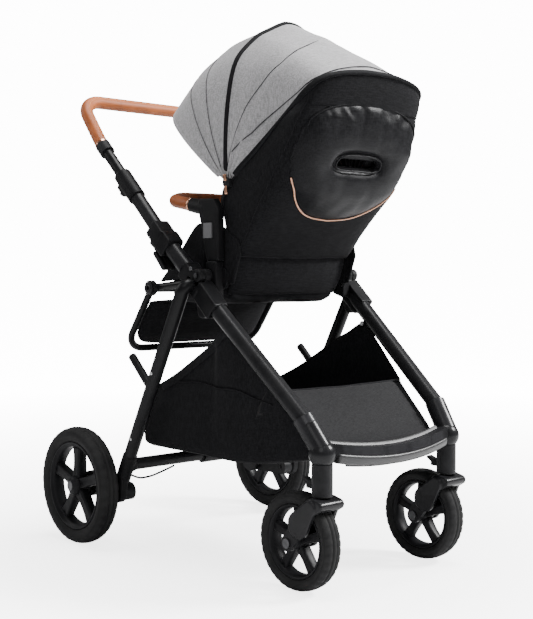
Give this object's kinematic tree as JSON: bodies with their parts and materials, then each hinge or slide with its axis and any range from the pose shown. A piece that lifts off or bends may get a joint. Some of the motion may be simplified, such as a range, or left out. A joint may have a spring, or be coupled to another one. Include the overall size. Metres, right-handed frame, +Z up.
{
  "type": "baby stroller",
  "caption": "Folding baby stroller with a rear-facing reclining seat, hooded canopy, telescopic handle, storage basket and swivelling front wheels.",
  "frame": {"origin": "centre of the whole stroller's box, on the floor", "axes": "+X forward, away from the pushing person; +Y to the left; +Z up"},
  "size_m": [0.786, 0.605, 1.083],
  "materials": {
    "tyre_rubber": "matt treaded rubber",
    "wheel_plastic": "satin moulded plastic",
    "frame_metal": "satin black powder coat",
    "frame_plastic": "fine-grained moulded plastic",
    "gloss_black": "gloss black moulding",
    "grey_plastic": "matt grey plastic",
    "tan_leather": "stitched tan leather",
    "rose_metal": "polished rose gold",
    "steel": "brushed steel",
    "black_fabric": "black woven polyester",
    "grey_melange": "light grey melange weave",
    "cable_sheath": "black cable sheath"
  },
  "bodies": {
    "chassis": {"front_legs": "frame_metal", "hub_housings": "frame_plastic", "hub_pins": "steel", "front_bumper": "frame_plastic", "caster_barrels": "frame_plastic", "seat_adapters": "frame_plastic", "seat_brackets": "frame_plastic", "seat_frame": "frame_metal", "seat_pad": "black_fabric", "basket": "black_fabric", "basket_snaps": "grey_plastic"},
    "handle_frame": {"handle_knuckles": "frame_plastic", "side_tubes": "frame_metal", "latch_housings": "frame_plastic", "telescope_clamps": "frame_plastic"},
    "handle": {"handle_tube": "frame_metal", "handle_grip": "tan_leather", "grip_rings": "rose_metal", "handle_cuffs": "frame_plastic"},
    "rear_frame": {"rear_legs": "frame_metal", "axle_brackets": "frame_plastic", "rear_crosstube": "frame_metal", "stand_pegs": "frame_plastic", "brake_cable": "cable_sheath"},
    "brake_pedal": {"brake_pedal": "frame_plastic"},
    "backrest": {"backrest": "black_fabric", "canopy_rear": "grey_melange", "canopy_pivots": "frame_plastic"},
    "recline_handle": {"recline_handle": "frame_plastic"},
    "canopy_front": {"canopy_front": "grey_melange"},
    "calf_rest": {"calf_rest": "frame_metal", "calf_pad": "black_fabric"},
    "bumper_bar": {"bumper_bar": "tan_leather", "bar_plugs": "frame_plastic"},
    "suspension_right": {"trailing_arm_right": "frame_plastic", "rear_axle_right": "steel"},
    "rear_wheel_right": {"rear_rim_right": "wheel_plastic", "rear_tyre_right": "tyre_rubber"},
    "caster_right": {"caster_fork_right": "gloss_black", "fork_arms_right": "frame_plastic", "front_axle_right": "steel"},
    "front_wheel_right": {"front_rim_right": "wheel_plastic", "front_tyre_right": "tyre_rubber"},
    "swivel_lock_right": {"swivel_lock_right": "frame_plastic"},
    "fold_lever_right": {"fold_lever_right": "frame_plastic"},
    "telescope_button_right": {"telescope_button_right": "frame_plastic"},
    "memory_button_right": {"memory_button_right": "grey_plastic"},
    "suspension_left": {"trailing_arm_left": "frame_plastic", "rear_axle_left": "steel"},
    "rear_wheel_left": {"rear_rim_left": "wheel_plastic", "rear_tyre_left": "tyre_rubber"},
    "caster_left": {"caster_fork_left": "gloss_black", "fork_arms_left": "frame_plastic", "front_axle_left": "steel"},
    "front_wheel_left": {"front_rim_left": "wheel_plastic", "front_tyre_left": "tyre_rubber"},
    "swivel_lock_left": {"swivel_lock_left": "frame_plastic"},
    "fold_lever_left": {"fold_lever_left": "frame_plastic"},
    "telescope_button_left": {"telescope_button_left": "frame_plastic"},
    "memory_button_left": {"memory_button_left": "grey_plastic"}
  },
  "joints": [
    {"name": "frame_fold", "type": "hinge", "parent": "chassis", "child": "handle_frame", "pos_m": [0.06066, 0, 0.5716], "axis": [0, 1, 0], "range_deg": [0, 178]},
    {"name": "rear_leg_fold", "type": "hinge", "parent": "chassis", "child": "rear_frame", "pos_m": [0.047, 0, 0.553], "axis": [0, -1, 0], "range_deg": [0, 45]},
    {"name": "handle_telescope", "type": "slide", "parent": "handle_frame", "child": "handle", "axis": [-0.7302, 0, 0.6833], "range_m": [-0.06, 0.06]},
    {"name": "brake_pedal_press", "type": "hinge", "parent": "rear_frame", "child": "brake_pedal", "pos_m": [-0.14693, 0, 0.178], "axis": [0, -1, 0], "range_deg": [0, 22]},
    {"name": "seat_recline", "type": "hinge", "parent": "chassis", "child": "backrest", "pos_m": [0.069, 0, 0.566], "axis": [0, 1, 0], "range_deg": [-10, 40]},
    {"name": "recline_release", "type": "slide", "parent": "backrest", "child": "recline_handle", "axis": [0.4684, 0, 0.8835], "range_m": [0, 0.006], "stiffness_N_per_m": 400},
    {"name": "canopy_fold", "type": "hinge", "parent": "backrest", "child": "canopy_front", "pos_m": [0.096, 0, 0.752], "axis": [0, 1, 0], "range_deg": [0, 50]},
    {"name": "calf_rest_tilt", "type": "hinge", "parent": "chassis", "child": "calf_rest", "pos_m": [-0.139, 0, 0.545], "axis": [0, 1, 0], "range_deg": [-35, 45]},
    {"name": "bumper_bar_pull", "type": "slide", "parent": "chassis", "child": "bumper_bar", "axis": [-0.9842, 0, 0.1772], "range_m": [0, 0.04]},
    {"name": "suspension_right_swing", "type": "hinge", "parent": "rear_frame", "child": "suspension_right", "pos_m": [-0.169, -0.239, 0.118], "axis": [0, 1, 0], "range_deg": [0, 8], "stiffness_Nm_per_rad": 60, "springref_deg": -8.59},
    {"name": "rear_wheel_right_spin", "type": "hinge", "parent": "suspension_right", "child": "rear_wheel_right", "pos_m": [-0.269, -0.2775, 0.124], "axis": [0, 1, 0], "continuous": true},
    {"name": "caster_right_swivel", "type": "hinge", "parent": "chassis", "child": "caster_right", "pos_m": [0.359, -0.1735, 0.18], "axis": [0, 0, 1], "continuous": true},
    {"name": "front_wheel_right_spin", "type": "hinge", "parent": "caster_right", "child": "front_wheel_right", "pos_m": [0.302, -0.1735, 0.091], "axis": [0, 1, 0], "continuous": true},
    {"name": "swivel_lock_right_flip", "type": "hinge", "parent": "chassis", "child": "swivel_lock_right", "pos_m": [0.334, -0.1735, 0.2], "axis": [0, 1, 0], "range_deg": [0, 25]},
    {"name": "fold_lever_right_pull", "type": "hinge", "parent": "handle_frame", "child": "fold_lever_right", "pos_m": [-0.07805, -0.216, 0.63704], "axis": [0, 1, 0], "range_deg": [0, 12], "stiffness_Nm_per_rad": 1},
    {"name": "telescope_button_right_press", "type": "slide", "parent": "handle_frame", "child": "telescope_button_right", "axis": [0.6833, 0, 0.7302], "range_m": [0, 0.003], "stiffness_N_per_m": 300},
    {"name": "memory_button_right_press", "type": "slide", "parent": "chassis", "child": "memory_button_right", "axis": [0, 1, 0], "range_m": [0, 0.0025], "stiffness_N_per_m": 300},
    {"name": "suspension_left_swing", "type": "hinge", "parent": "rear_frame", "child": "suspension_left", "pos_m": [-0.169, 0.239, 0.118], "axis": [0, 1, 0], "range_deg": [0, 8], "stiffness_Nm_per_rad": 60, "springref_deg": -8.59},
    {"name": "rear_wheel_left_spin", "type": "hinge", "parent": "suspension_left", "child": "rear_wheel_left", "pos_m": [-0.269, 0.2775, 0.124], "axis": [0, 1, 0], "continuous": true},
    {"name": "caster_left_swivel", "type": "hinge", "parent": "chassis", "child": "caster_left", "pos_m": [0.359, 0.1735, 0.18], "axis": [0, 0, 1], "continuous": true},
    {"name": "front_wheel_left_spin", "type": "hinge", "parent": "caster_left", "child": "front_wheel_left", "pos_m": [0.302, 0.1735, 0.091], "axis": [0, 1, 0], "continuous": true},
    {"name": "swivel_lock_left_flip", "type": "hinge", "parent": "chassis", "child": "swivel_lock_left", "pos_m": [0.334, 0.1735, 0.2], "axis": [0, 1, 0], "range_deg": [0, 25]},
    {"name": "fold_lever_left_pull", "type": "hinge", "parent": "handle_frame", "child": "fold_lever_left", "pos_m": [-0.07805, 0.216, 0.63704], "axis": [0, 1, 0], "range_deg": [0, 12], "stiffness_Nm_per_rad": 1},
    {"name": "telescope_button_left_press", "type": "slide", "parent": "handle_frame", "child": "telescope_button_left", "axis": [0.6833, 0, 0.7302], "range_m": [0, 0.003], "stiffness_N_per_m": 300},
    {"name": "memory_button_left_press", "type": "slide", "parent": "chassis", "child": "memory_button_left", "axis": [0, -1, 0], "range_m": [0, 0.0025], "stiffness_N_per_m": 300}
  ],
  "couplings": [
    {"joint": "rear_leg_fold", "follows": "frame_fold", "ratio": 0.25281}
  ]
}
